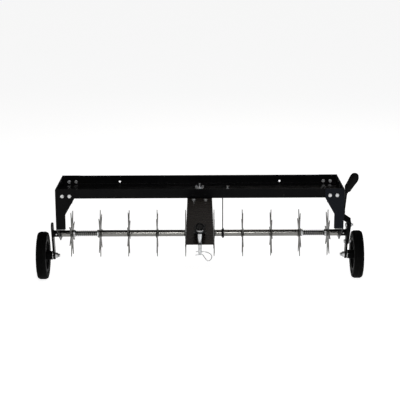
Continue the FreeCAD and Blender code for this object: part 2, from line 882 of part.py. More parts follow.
def origin_shift():
    """Ground plane at zero height, middle of the machine's length at zero."""
    clip_front = pin_y - clip_loop * math.cos(math.radians(clip_tilt)) - clip_wire / 2.0
    front = min(tongue_front, clip_front)
    back = max(plate_half_depth + small_bolt * 0.65, wheel_y + wheel_radius)
    return vec(0, -(front + back) / 2.0, wheel_radius - wheel_z)


def main():
    os.makedirs("parts", exist_ok=True)
    shift = origin_shift()
    for name, shape in parts_list().items():
        placed = shape.copy()
        placed.translate(shift)
        placed.exportStep("parts/" + name + ".step")
        print(name, len(placed.Solids), placed.isValid(), round(placed.Volume))
    print("origin_shift", shift)


main()
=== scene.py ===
"""Looks of the tow-behind star wheel aerator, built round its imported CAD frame."""

import json
import logging
import math
from dataclasses import dataclass, field
from enum import Enum
from typing import Iterable, Sequence

import bmesh
import bpy
from mathutils import Matrix, Vector


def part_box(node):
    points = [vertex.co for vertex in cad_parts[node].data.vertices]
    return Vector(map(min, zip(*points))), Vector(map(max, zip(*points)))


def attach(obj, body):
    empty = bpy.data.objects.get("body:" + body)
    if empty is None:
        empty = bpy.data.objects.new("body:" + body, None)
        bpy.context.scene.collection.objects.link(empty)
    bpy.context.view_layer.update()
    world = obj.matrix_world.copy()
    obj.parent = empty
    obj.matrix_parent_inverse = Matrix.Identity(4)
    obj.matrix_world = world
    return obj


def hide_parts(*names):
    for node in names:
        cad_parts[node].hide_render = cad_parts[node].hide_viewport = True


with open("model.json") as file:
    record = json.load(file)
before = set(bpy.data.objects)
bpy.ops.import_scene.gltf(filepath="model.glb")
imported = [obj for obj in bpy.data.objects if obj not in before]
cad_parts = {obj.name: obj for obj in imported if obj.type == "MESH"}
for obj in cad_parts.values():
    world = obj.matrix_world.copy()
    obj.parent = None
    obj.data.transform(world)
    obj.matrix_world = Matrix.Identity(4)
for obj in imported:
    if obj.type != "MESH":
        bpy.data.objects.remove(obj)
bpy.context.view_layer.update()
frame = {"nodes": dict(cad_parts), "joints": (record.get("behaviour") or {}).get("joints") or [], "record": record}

LOG = logging.getLogger("aerator")
MM = 0.001
Colour = tuple[float, float, float]
ALONG_X = (0.0, math.pi / 2, 0.0)
SMALL_RADIUS = 4 * MM
SMALL_PITCH = 1.25 * MM
SMALL_HEAD = 5.2 * MM
SMALL_HALF_FLATS = 6.4 * MM
SMALL_HALF_CORNERS = 7.39 * MM
THREAD_STOP = 0.5 * MM


class Side(Enum):
    """Which end of the star shaft a piece belongs to."""

    LEFT = -1
    RIGHT = 1

    @property
    def word(self) -> str:
        """The side as it is written in node names."""
        return self.name.lower()


# ------------------------------------------------------------------ finishes


class Shader:
    """One material's node tree, with short ways to add and join nodes."""

    def __init__(self, name: str) -> None:
        """Start a material that has only a surface shader.

        Args:
            name: the material's name.
        """
        self.material = bpy.data.materials.new(name)
        self.material.use_nodes = True
        self.nodes = self.material.node_tree.nodes
        self.links = self.material.node_tree.links
        self.nodes.clear()
        self.surface = self.nodes.new("ShaderNodeBsdfPrincipled")
        output = self.nodes.new("ShaderNodeOutputMaterial")
        self.links.new(self.surface.outputs["BSDF"], output.inputs["Surface"])
        self.place = self.nodes.new("ShaderNodeTexCoord").outputs["Object"]

    def fixed(self, **values: float) -> None:
        """Set constants on the surface shader's own sockets.

        Args:
            values: socket names with underscores for spaces, and their numbers.
        """
        for name, value in values.items():
            self.surface.inputs[name.replace("_", " ")].default_value = value

    def noise(self, scale: float, detail: float = 3.0, stretch: Colour = (1, 1, 1)) -> bpy.types.NodeSocket:
        """Grain that stays on the object.

        Args:
            scale: grains per metre.
            detail: how many finer layers are added.
            stretch: how much denser the grain is along each axis.

        Returns:
            The grain's 0 to 1 output.
        """
        mapping = self.nodes.new("ShaderNodeMapping")
        mapping.inputs["Scale"].default_value = stretch
        self.links.new(self.place, mapping.inputs["Vector"])
        grain = self.nodes.new("ShaderNodeTexNoise")
        grain.inputs["Scale"].default_value = scale
        grain.inputs["Detail"].default_value = detail
        self.links.new(mapping.outputs["Vector"], grain.inputs["Vector"])
        return grain.outputs["Fac"]

    def cells(self, scale: float) -> bpy.types.NodeSocket:
        """Crystal-like cells of even tone, such as spangle.

        Args:
            scale: cells per metre.

        Returns:
            The cells' random colour.
        """
        cell = self.nodes.new("ShaderNodeTexVoronoi")
        cell.inputs["Scale"].default_value = scale
        self.links.new(self.place, cell.inputs["Vector"])
        split = self.nodes.new("ShaderNodeSeparateColor")
        self.links.new(cell.outputs["Color"], split.inputs["Color"])
        return split.outputs["Red"]

    def ramp(self, factor: bpy.types.NodeSocket, low: float, high: float, to_low: float,
             to_high: float) -> bpy.types.NodeSocket:
        """Stretch part of a grain's range on to another range.

        Args:
            factor: the grain.
            low: grain value that gives to_low.
            high: grain value that gives to_high.
            to_low: result at low.
            to_high: result at high.

        Returns:
            The stretched value.
        """
        node = self.nodes.new("ShaderNodeMapRange")
        for name, value in (("From Min", low), ("From Max", high), ("To Min", to_low), ("To Max", to_high)):
            node.inputs[name].default_value = value
        self.links.new(factor, node.inputs["Value"])
        return node.outputs["Result"]

    def blend(self, factor: bpy.types.NodeSocket, first: "Colour | bpy.types.NodeSocket",
              second: "Colour | bpy.types.NodeSocket") -> bpy.types.NodeSocket:
        """Mix two colours by a grain.

        Args:
            factor: 0 for the first colour, 1 for the second.
            first: colour, or a colour socket.
            second: colour, or a colour socket.

        Returns:
            The mixed colour.
        """
        node = self.nodes.new("ShaderNodeMix")
        node.data_type = "RGBA"
        self.links.new(factor, node.inputs[0])
        for index, value in ((6, first), (7, second)):
            if isinstance(value, tuple):
                node.inputs[index].default_value = (*value, 1.0)
            else:
                self.links.new(value, node.inputs[index])
        return node.outputs[2]

    def relief(self, layers: Iterable[tuple[bpy.types.NodeSocket, float]]) -> None:
        """Join grains to the surface normal as small bumps.

        Args:
            layers: each grain and its height in metres.
        """
        normal = None
        for height, depth in layers:
            bump = self.nodes.new("ShaderNodeBump")
            bump.inputs["Strength"].default_value = 1.0
            bump.inputs["Distance"].default_value = depth
            self.links.new(height, bump.inputs["Height"])
            if normal is not None:
                self.links.new(normal, bump.inputs["Normal"])
            normal = bump.outputs["Normal"]
        self.links.new(normal, self.surface.inputs["Normal"])

    def use(self, socket: bpy.types.NodeSocket, name: str) -> None:
        """Join a result to one of the surface shader's sockets."""
        self.links.new(socket, self.surface.inputs[name])


@dataclass(frozen=True)
class Finish:
    """A surface finish that can make its own material."""

    name: str
    slot: str
    base: Colour

    def material(self) -> bpy.types.Material:
        """The finish's material, made the first time it is asked for."""
        found = bpy.data.materials.get(self.name)
        if found is None:
            shader = Shader(self.name)
            self.shade(shader)
            found = shader.material
        return found

    def shade(self, shader: Shader) -> None:
        """Fill the material's nodes."""
        shader.fixed(Base_Color=(*self.base, 1.0))


@dataclass(frozen=True)
class PowderCoat(Finish):
    """Black powder coat: orange peel, faint cloudy dust and small dull scuffs."""

    gloss: float = 0.24
    dust: Colour = (0.005, 0.0047, 0.0043)

    def shade(self, shader: Shader) -> None:
        """Fill the material's nodes."""
        shader.fixed(Specular_IOR_Level=0.04)
        cloud = shader.ramp(shader.noise(7.0, 5.0), 0.48, 0.80, 0.0, 0.55)
        speck = shader.ramp(shader.noise(420.0, 2.0), 0.68, 0.74, 0.0, 0.35)
        tone = shader.blend(cloud, self.base, self.dust)
        tone = shader.blend(speck, tone, tuple(3.0 * c for c in self.dust))
        shader.use(tone, "Base Color")
        scuff = shader.ramp(shader.noise(26.0, 6.0, (1, 3, 1)), 0.45, 0.75, self.gloss, self.gloss + 0.2)
        shader.use(scuff, "Roughness")
        shader.relief([(shader.noise(650.0, 1.0), 0.00002), (shader.noise(90.0, 2.0), 0.00003)])


@dataclass(frozen=True)
class ZincPlate(Finish):
    """Bright zinc plate on turned and headed parts."""

    rough: float = 0.32
    stain: Colour = (0.20, 0.19, 0.165)

    def shade(self, shader: Shader) -> None:
        """Fill the material's nodes."""
        shader.fixed(Metallic=1.0)
        tint = shader.ramp(shader.noise(60.0, 4.0), 0.45, 0.75, 0.0, 0.6)
        shader.use(shader.blend(tint, self.base, self.stain), "Base Color")
        grain = shader.noise(300.0, 3.0)
        shader.use(shader.ramp(grain, 0.3, 0.7, self.rough, self.rough + 0.14), "Roughness")
        shader.relief([(shader.noise(900.0, 2.0), 0.00003)])


@dataclass(frozen=True)
class GalvanisedTube(Finish):
    """Galvanised tube: small spangle, draw lines along its length and grey weathering."""

    rough: float = 0.16
    weathered: Colour = (0.10, 0.096, 0.086)

    def shade(self, shader: Shader) -> None:
        """Fill the material's nodes."""
        shader.fixed(Metallic=1.0)
        spangle = shader.ramp(shader.cells(260.0), 0.0, 1.0, 0.0, 0.28)
        tone = shader.blend(spangle, self.base, self.weathered)
        patch = shader.ramp(shader.noise(14.0, 5.0), 0.55, 0.78, 0.0, 0.5)
        shader.use(shader.blend(patch, tone, self.weathered), "Base Color")
        lines = shader.noise(900.0, 2.0, (0.03, 1, 1))
        shader.use(shader.ramp(lines, 0.3, 0.7, self.rough, self.rough + 0.16), "Roughness")
        shader.relief([(lines, 0.00002)])


@dataclass(frozen=True)
class StarSteel(Finish):
    """Cut sheet with thin dull zinc: blotchy, with scratches from the soil."""

    dull: Colour = (0.045, 0.043, 0.037)

    def shade(self, shader: Shader) -> None:
        """Fill the material's nodes."""
        shader.fixed(Metallic=0.92)
        blotch = shader.ramp(shader.noise(38.0, 6.0), 0.40, 0.70, 0.0, 0.85)
        shader.use(shader.blend(blotch, self.base, self.dull), "Base Color")
        scratch = shader.noise(240.0, 4.0, (1, 5, 0.4))
        shader.use(shader.ramp(scratch, 0.3, 0.7, 0.34, 0.56), "Roughness")
        shader.relief([(scratch, 0.00004), (shader.noise(70.0, 3.0), 0.00006)])


@dataclass(frozen=True)
class Rubber(Finish):
    """Moulded rubber: matte, fine grain, pale dust in patches."""

    dust: Colour = (0.007, 0.0067, 0.0062)
    grain: float = 0.00006

    def shade(self, shader: Shader) -> None:
        """Fill the material's nodes."""
        shader.fixed(Specular_IOR_Level=0.02)
        dusty = shader.ramp(shader.noise(30.0, 6.0), 0.50, 0.78, 0.0, 0.6)
        shader.use(shader.blend(dusty, self.base, self.dust), "Base Color")
        shader.use(shader.ramp(shader.noise(110.0, 3.0), 0.3, 0.7, 0.55, 0.78), "Roughness")
        shader.relief([(shader.noise(1100.0, 2.0), self.grain)])


@dataclass(frozen=True)
class MouldedPlastic(Finish):
    """Injection moulded plastic: even satin with a fine spark texture."""

    rough: float = 0.42

    def shade(self, shader: Shader) -> None:
        """Fill the material's nodes."""
        shader.fixed(Specular_IOR_Level=0.02)
        flow = shader.ramp(shader.noise(18.0, 3.0, (1, 1, 2)), 0.4, 0.7, 0.0, 0.5)
        shader.use(shader.blend(flow, self.base, tuple(1.9 * c for c in self.base)), "Base Color")
        spark = shader.noise(500.0, 2.0)
        shader.use(shader.ramp(spark, 0.3, 0.7, self.rough, self.rough + 0.14), "Roughness")
        shader.relief([(shader.noise(1300.0, 2.0), 0.00004)])


BLACK = PowderCoat("powder_coat_black", "black_powder_coat", (0.0022, 0.0022, 0.0025))
# Tongue's coat: the black powder coat with its base and dust colours lifted to a warm brown-grey. This is a
# painted sheen of reflected light, not dust.
TONGUE_PAINTED_SHEEN = PowderCoat("powder_coat_dusty", "black_powder_coat", (0.018, 0.0150, 0.0132),
                   dust=(0.021, 0.018, 0.0155))
# Right side plate's coat: the black powder coat tinted blue. This is a painted reflection of the blue-tinted
# light; the left plate has the same black coat.
RIGHT_PLATE_PAINTED_REFLECTION = PowderCoat("powder_coat_cool", "black_powder_coat", (0.0062, 0.0070, 0.0095),
                  dust=(0.008, 0.0088, 0.0112))
TUBE = GalvanisedTube("spangled_tube_zinc", "galvanised_tube", (0.20, 0.197, 0.186))
BAR = GalvanisedTube("drawn_bar", "bare_steel", (0.20, 0.20, 0.195), rough=0.28)
STAR = StarSteel("star_plate_steel", "star_steel", (0.10, 0.098, 0.091))
ZINC = ZincPlate("bright_zinc", "zinc_steel", (0.56, 0.565, 0.57))
WIRE = PowderCoat("oiled_spring_wire", "black_spring_wire", (0.0015, 0.0015, 0.0015), gloss=0.34)
TYRE = Rubber("tyre_compound", "tyre_rubber", (0.002, 0.002, 0.002))
RIM = MouldedPlastic("rim_moulding", "rim_plastic", (0.002, 0.002, 0.0022))
NYLON = MouldedPlastic("bearing_nylon", "nylon", (0.03, 0.03, 0.03), rough=0.5)
GRIP = Rubber("dipped_vinyl", "vinyl_grip", (0.005, 0.005, 0.005), grain=0.00003)
# Nodes whose coat holds painted sheen or painted reflection instead of their slot's plain finish.
PAINTED_LIGHT_COATS = {"tongue": TONGUE_PAINTED_SHEEN, "side_plate_right": RIGHT_PLATE_PAINTED_REFLECTION}
FINISHES = {finish.slot: finish for finish in (BLACK, TUBE, BAR, STAR, ZINC, WIRE, TYRE, RIM, NYLON, GRIP)}


# ------------------------------------------------------------------ mesh making


def new_piece(name: str, mesh: bpy.types.Mesh) -> bpy.types.Object:
    """Put a mesh in the scene as an object at the origin."""
    piece = bpy.data.objects.new(name, mesh)
    bpy.context.scene.collection.objects.link(piece)
    return piece


def finish_piece(piece: bpy.types.Object, finish: Finish, body: str, smooth: bool = True,
                 replaces: Sequence[str] = ()) -> bpy.types.Object:
    """Give a piece its finish and tie it to its body.

    Args:
        piece: the object, already in place.
        finish: its surface finish.
        body: CAD body that it moves with.
        smooth: whether its faces are shaded smooth.
        replaces: CAD nodes that it stands for.

    Returns:
        The same object.
    """
    piece.data.materials.clear()
    piece.data.materials.append(finish.material())
    for face in piece.data.polygons:
        face.use_smooth = smooth
        face.material_index = 0
    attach(piece, body)
    if replaces:
        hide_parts(*replaces)
    LOG.info("%s: %d faces on %s", piece.name, len(piece.data.polygons), body)
    return piece


def lofted(name: str, rings: Sequence[Sequence[Vector]], closed: bool = False) -> bpy.types.Mesh:
    """Skin a row of rings.

    Args:
        name: mesh name.
        rings: loops of points, all with as many points.
        closed: whether the last ring joins the first; open ends are capped.

    Returns:
        A closed mesh with outward faces.
    """
    mesh = bmesh.new()
    rows = [[mesh.verts.new(p) for p in ring] for ring in rings]
    count = len(rows[0])
    pairs = list(zip(rows, rows[1:])) + ([(rows[-1], rows[0])] if closed else [])
    for near, far in pairs:
        for k in range(count):
            mesh.faces.new((near[k], near[(k + 1) % count], far[(k + 1) % count], far[k]))
    if not closed:
        mesh.faces.new(rows[0])
        mesh.faces.new(rows[-1])
    bmesh.ops.recalc_face_normals(mesh, faces=mesh.faces)
    data = bpy.data.meshes.new(name)
    mesh.to_mesh(data)
    mesh.free()
    return data


def turned(name: str, profile: Sequence[tuple[float, float]], centre: Vector,
           steps: int = 96) -> bpy.types.Mesh:
    """Turn a closed profile round an axis along X.

    Args:
        name: mesh name.
        profile: (x, radius) points of the section.
        centre: point on the axis; the profile's x is measured from it.
        steps: facets round the axis.

    Returns:
        The turned mesh.
    """
    rings = []
    for k in range(steps):
        angle = 2 * math.pi * k / steps
        rings.append([centre + Vector((x, r * math.cos(angle), r * math.sin(angle))) for x, r in profile])
    return lofted(name, rings, closed=True)


class GeometryRecipe:
    """A Geometry Nodes tree with named inputs, made once and used for many pieces."""

    def __init__(self, name: str, inputs: Sequence[tuple[str, str]]) -> None:
        """Start the tree.

        Args:
            name: tree name.
            inputs: each input's name and socket kind.
        """
        self.tree = bpy.data.node_groups.new(name, "GeometryNodeTree")
        sockets = self.tree.interface
        sockets.new_socket("Geometry", in_out="INPUT", socket_type="NodeSocketGeometry")
        for label, kind in (*inputs, ("Finish", "Material")):
            sockets.new_socket(label, in_out="INPUT", socket_type="NodeSocket" + kind)
        sockets.new_socket("Geometry", in_out="OUTPUT", socket_type="NodeSocketGeometry")
        self.start = self.tree.nodes.new("NodeGroupInput")

    def node(self, kind: str, joins: dict[str, bpy.types.NodeSocket] | None = None,
             **settings: object) -> bpy.types.Node:
        """Add a node.

        Args:
            kind: node type after its common prefix.
            joins: input name to the output that feeds it.
            settings: properties of the node.

        Returns:
            The node.
        """
        made = self.tree.nodes.new(kind)
        for key, value in settings.items():
            setattr(made, key, value)
        for key, socket in (joins or {}).items():
            self.tree.links.new(socket, made.inputs[key])
        return made

    def math(self, operation: str, first: object, second: object) -> bpy.types.NodeSocket:
        """Join two numbers by an arithmetic node."""
        made = self.node("ShaderNodeMath", operation=operation)
        for index, value in enumerate((first, second)):
            if isinstance(value, (int, float)):
                made.inputs[index].default_value = value
            else:
                self.tree.links.new(value, made.inputs[index])
        return made.outputs[0]

    def end(self, geometry: bpy.types.NodeSocket) -> None:
        """Realise the instances, set the finish and close the tree."""
        real = self.node("GeometryNodeRealizeInstances", {"Geometry": geometry})
        coat = self.node("GeometryNodeSetMaterial",
                         {"Geometry": real.outputs[0], "Material": self.start.outputs["Finish"]})
        self.node("NodeGroupOutput", {"Geometry": coat.outputs[0]})

    def grow(self, name: str, seed: bpy.types.Mesh, finish: Finish, **values: object) -> bpy.types.Object:
        """Run the tree on a seed mesh and keep the result as a plain mesh.

        Args:
            name: name of the new piece.
            seed: mesh that enters the tree.
            finish: finish that the tree sets.
            values: the tree's inputs, underscores for spaces.

        Returns:
            An object with no modifier.
        """
        piece = new_piece(name, seed)
        modifier = piece.modifiers.new("grow", "NODES")
        modifier.node_group = self.tree
        wanted = {key.replace("_", " "): value for key, value in values.items()}
        wanted["Finish"] = finish.material()
        for socket in self.tree.interface.items_tree:
            if socket.in_out == "INPUT" and socket.name in wanted:
                modifier[socket.identifier] = wanted[socket.name]
        graph = bpy.context.evaluated_depsgraph_get()
        grown = bpy.data.meshes.new_from_object(piece.evaluated_get(graph))
        piece.modifiers.remove(modifier)
        piece.data = grown
        grown.name = name
        return piece


def coil_recipe() -> GeometryRecipe:
    """Round wire wound about an axis along X: springs and screw threads."""
    recipe = GeometryRecipe("coil", [("Turns", "Float"), ("Radius", "Float"), ("Length", "Float"),
                                     ("Wire", "Float"), ("Wire Sides", "Int"), ("Start", "Vector"),
                                     ("Turn", "Vector")])
    given = recipe.start.outputs
    spiral = recipe.node("GeometryNodeCurveSpiral", {
        "Rotations": given["Turns"], "Start Radius": given["Radius"],
        "End Radius": given["Radius"], "Height": given["Length"]})
    spiral.inputs["Resolution"].default_value = 28
    section = recipe.node("GeometryNodeCurvePrimitiveCircle",
                          {"Resolution": given["Wire Sides"], "Radius": given["Wire"]})
    wire = recipe.node("GeometryNodeCurveToMesh",
                       {"Curve": spiral.outputs[0], "Profile Curve": section.outputs[0]})
    wire.inputs["Fill Caps"].default_value = True
    placed = recipe.node("GeometryNodeTransform", {
        "Geometry": wire.outputs[0], "Translation": given["Start"], "Rotation": given["Turn"]})
    recipe.end(placed.outputs[0])
    return recipe


def spin_recipe() -> GeometryRecipe:
    """One seed shape repeated round an axis along X, each copy a little different."""
    recipe = GeometryRecipe("spin", [("Count", "Int"), ("Centre", "Vector"), ("Smallest", "Float")])
    given = recipe.start.outputs
    away = recipe.node("ShaderNodeVectorMath", operation="SCALE")
    recipe.tree.links.new(given["Centre"], away.inputs[0])
    away.inputs["Scale"].default_value = -1.0
    seed = recipe.node("GeometryNodeTransform",
                       {"Geometry": given["Geometry"], "Translation": away.outputs[0]})
    spots = recipe.node("GeometryNodeMeshLine", {"Count": given["Count"]})
    spots.inputs["Offset"].default_value = (0.0, 0.0, 0.0)
    index = recipe.node("GeometryNodeInputIndex")
    step = recipe.math("DIVIDE", 2 * math.pi, given["Count"])
    angle = recipe.math("MULTIPLY", index.outputs[0], step)
    turn = recipe.node("ShaderNodeCombineXYZ", {"X": angle})
    size = recipe.node("FunctionNodeRandomValue", {"Min": given["Smallest"]}, data_type="FLOAT")
    recipe.tree.links.new(given["Smallest"], size.inputs[2])
    size.inputs[3].default_value = 1.0
    size.inputs["Seed"].default_value = 11
    copies = recipe.node("GeometryNodeInstanceOnPoints", {
        "Points": spots.outputs[0], "Instance": seed.outputs[0], "Rotation": turn.outputs[0],
        "Scale": size.outputs[1]})
    placed = recipe.node("GeometryNodeTransform",
                         {"Geometry": copies.outputs[0], "Translation": given["Centre"]})
    recipe.end(placed.outputs[0])
    return recipe


def row_recipe() -> GeometryRecipe:
    """One seed shape repeated at even steps along a line."""
    recipe = GeometryRecipe("row", [("Count", "Int"), ("Step", "Vector")])
    given = recipe.start.outputs
    spots = recipe.node("GeometryNodeMeshLine", {"Count": given["Count"], "Offset": given["Step"]})
    copies = recipe.node("GeometryNodeInstanceOnPoints",
                         {"Points": spots.outputs[0], "Instance": given["Geometry"]})
    recipe.end(copies.outputs[0])
    return recipe


class Recipes:
    """The geometry trees that the sub-assemblies share."""

    def __init__(self) -> None:
        """Build every tree once."""
        self.coil = coil_recipe()
        self.spin = spin_recipe()
        self.row = row_recipe()


def blob(centre: Vector, size: Vector, rings: int = 6, sides: int = 8) -> bpy.types.Mesh:
    """A rounded lump, used as one ripple of a weld bead.

    Args:
        centre: its middle.
        size: its half lengths.
        rings: rows of faces from end to end.
        sides: faces round it.

    Returns:
        The lump's mesh.
    """
    loops = []
    for k in range(1, rings):
        tilt = math.pi * k / rings
        loops.append([centre + Vector((size.x * math.sin(tilt) * math.cos(2 * math.pi * s / sides),
                                       size.y * math.sin(tilt) * math.sin(2 * math.pi * s / sides),
                                       size.z * math.cos(tilt))) for s in range(sides)])
    return lofted("ripple", loops)


def ring_mesh(centre: Vector, axis: Vector, inner: float, outer: float, height: float,
              sides: int = 32) -> bpy.types.Mesh:
    """A flat washer with a softened outer edge.

    Args:
        centre: middle of the face it lies on.
        axis: the way it stands up from that face.
        inner: hole radius.
        outer: outer radius.
        height: thickness.
        sides: facets round it.

    Returns:
        The washer's mesh.
    """
    turn = Vector((1, 0, 0)).rotation_difference(axis).to_matrix()
    soft = height * 0.4
    profile = [(0.0, inner), (0.0, outer), (height - soft, outer), (height, outer - soft), (height, inner)]
    rings = []
    for k in range(sides):
        angle = 2 * math.pi * k / sides
        rings.append([centre + turn @ Vector((x, r * math.cos(angle), r * math.sin(angle)))
                      for x, r in profile])
    return lofted("washer", rings, closed=True)


# ------------------------------------------------------------------ sub-assemblies


@dataclass
class MachineFacts:
    """Places of the main axes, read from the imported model."""

    shaft: Vector = field(default_factory=lambda: joint_place("transport_swing"))

    def wheel(self, side: Side) -> Vector:
        """Middle of one transport wheel."""
        return joint_place(f"wheel_{side.word}_spin")

    def stars(self) -> list[str]:
        """Names of the star wheel nodes from left to right."""
        return sorted(name for name in frame["nodes"] if name.startswith("star_"))


def joint_place(name: str) -> Vector:
    """A joint's point in the object's frame."""
    for joint in frame["joints"]:
        if joint["name"] == name:
            return Vector(joint["pos_m"])
    raise KeyError(name)


class CadFinishes:
    """Puts each carried-over CAD node in the finish that its record slot names; the tongue and the right side
    plate instead get black powder coat copies with painted sheen and painted blue reflection in their colour.
    """

    def dress(self) -> None:
        """Assign a material to every CAD node."""
        slots = {part["node"]: part["material_slot"] for part in frame["record"]["subparts"]}
        for name, node in frame["nodes"].items():
            # The tongue and the right side plate take coats whose colour holds painted sheen and painted
            # reflection.
            finish = PAINTED_LIGHT_COATS.get(name, FINISHES[slots[name]])
            if not node.material_slots:
                node.data.materials.append(finish.material())
            for slot in node.material_slots:
                slot.material = finish.material()
            LOG.info("%s: %s", name, finish.name)


@dataclass
class RowSpring:
    """Compression spring that keeps an end star wheel pressed up its spacer."""

    recipes: Recipes
    side: Side
    turns: float = 12.0
    wire: float = 1.75 * MM

    def build(self) -> None:
        """Wind the spring where its CAD node is."""
        node = f"spring_{self.side.word}"
        low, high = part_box(node)
        centre = (low + high) / 2
        radius = (high.z - low.z) / 2 - self.wire
        piece = self.recipes.coil.grow(
            f"row_spring_{self.side.word}", bpy.data.meshes.new("empty"), WIRE, Turns=self.turns,
            Radius=radius, Length=high.x - low.x - 2 * self.wire, Wire=self.wire, Wire_Sides=12,
            Start=(low.x + self.wire, centre.y, centre.z), Turn=ALONG_X)
        finish_piece(piece, WIRE, "transport_axle", replaces=[node])


@dataclass
class StarRow:
    """The ten star wheels: a ripple of weld where each hub meets its plate."""

    recipes: Recipes
    facts: MachineFacts
    ripples: int = 22
    bead: float = 1.7 * MM
    hub_radius: float = 12.7 * MM
    plate_half: float = 1.5 * MM

    def build(self) -> None:
        """Lay one bead on each face of every star plate."""
        for node in self.facts.stars():
            low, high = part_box(node)
            middle = Vector(((low.x + high.x) / 2, self.facts.shaft.y, self.facts.shaft.z))
            meshes = []
            for way in (-1, 1):
                spot = middle + Vector((way * self.plate_half, 0, self.hub_radius))
                seed = blob(spot, Vector((self.bead * 0.9, self.bead * 1.3, self.bead)))
                bead = self.recipes.spin.grow("bead", seed, STAR, Count=self.ripples,
                                              Centre=tuple(middle), Smallest=0.97)
                meshes.append(bead)
            piece = joined(f"{node}_weld", meshes)
            finish_piece(piece, STAR, f"{node}_wheel")


def joined(name: str, pieces: Sequence[bpy.types.Object]) -> bpy.types.Object:
    """Make one object of several.

    Args:
        name: name of the new object.
        pieces: objects at the origin; they are removed.

    Returns:
        The joined object.
    """
    whole = bmesh.new()
    for piece in pieces:
        whole.from_mesh(piece.data)
        bpy.data.objects.remove(piece)
    data = bpy.data.meshes.new(name)
    whole.to_mesh(data)
    whole.free()
    return new_piece(name, data)


@dataclass
class RoadWheel:
    """Transport wheel: rounded-shoulder tyre with shallow grooves and side ribs."""

    recipes: Recipes
    facts: MachineFacts
    side: Side
    groove: float = 1.0 * MM
    ribs: int = 60
    bead_radius: float = 62 * MM
    rim_lip: float = 66 * MM

    def section(self, radius: float, half: float) -> list[tuple[float, float]]:
        """Tyre section from the inner seat round the tread and back.

        Args:
            radius: tread radius.
            half: half of the tyre's width.

        Returns:
            (x, radius) points.
        """
        right = [(half - 6.2 * MM, self.bead_radius), (half - 6.2 * MM, self.rim_lip + 0.3 * MM),
                 (half - 3.4 * MM, self.rim_lip + 1.2 * MM), (half - 1.4 * MM, self.rim_lip + 4 * MM),
                 (half - 0.4 * MM, radius - 21 * MM), (half - 1.0 * MM, radius - 20.2 * MM),
                 (half - 0.2 * MM, radius - 19.4 * MM), (half, radius - 15 * MM)]
        for k in range(1, 9):
            turn = math.pi / 2 * k / 8
            right.append((half - 10 * MM * (1 - math.cos(turn)), radius - 13.5 * MM * (1 - math.sin(turn))))
        tread = []
        for x in (6.0 * MM, 0.0, -6.0 * MM):
            tread += [(x + 0.9 * MM, radius), (x + 0.5 * MM, radius - self.groove),
                      (x - 0.5 * MM, radius - self.groove), (x - 0.9 * MM, radius)]
        left = [(-x, r) for x, r in reversed(right)]
        return right + tread + left

    def build(self) -> None:
        """Make the tyre and its side ribs."""
        node = f"tyre_{self.side.word}"
        low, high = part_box(node)
        centre = Vector(((low.x + high.x) / 2, (low.y + high.y) / 2, (low.z + high.z) / 2))
        radius = (high.z - low.z) / 2
        half = (high.x - low.x) / 2
        body = f"wheel_{self.side.word}"
        casing = new_piece(node + "_casing", turned(node, self.section(radius, half), centre, 120))
        ribs = []
        for way in (-1, 1):
            spot = centre + Vector((way * (half - 1.3 * MM), 0, radius - 9.5 * MM))
            seed = blob(spot, Vector((1.0 * MM, 1.1 * MM, 6.5 * MM)), rings=8, sides=6)
            ribs.append(self.recipes.spin.grow("rib", seed, TYRE, Count=self.ribs, Centre=tuple(centre),
                                               Smallest=1.0))
        finish_piece(joined(node + "_casing_ribbed", [casing, *ribs]), TYRE, body, replaces=[node])
        self.hub_cap(centre, body)

    def hub_cap(self, centre: Vector, body: str) -> None:
        """Small stepped boss ring round the outer end of the hub.

        Args:
            centre: wheel middle.
            body: body it rides on.
        """
        low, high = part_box(f"rim_{self.side.word}")
        way = self.side.value
        outer = high.x if way > 0 else low.x
        face = outer - way * 9.0 * MM
        axis = Vector((way, 0, 0))
        spot = Vector((face, centre.y, centre.z))
        piece = new_piece(f"hub_ring_{self.side.word}",
                          ring_mesh(spot, axis, 14.2 * MM, 21 * MM, 2.4 * MM, 48))
        finish_piece(piece, RIM, body)


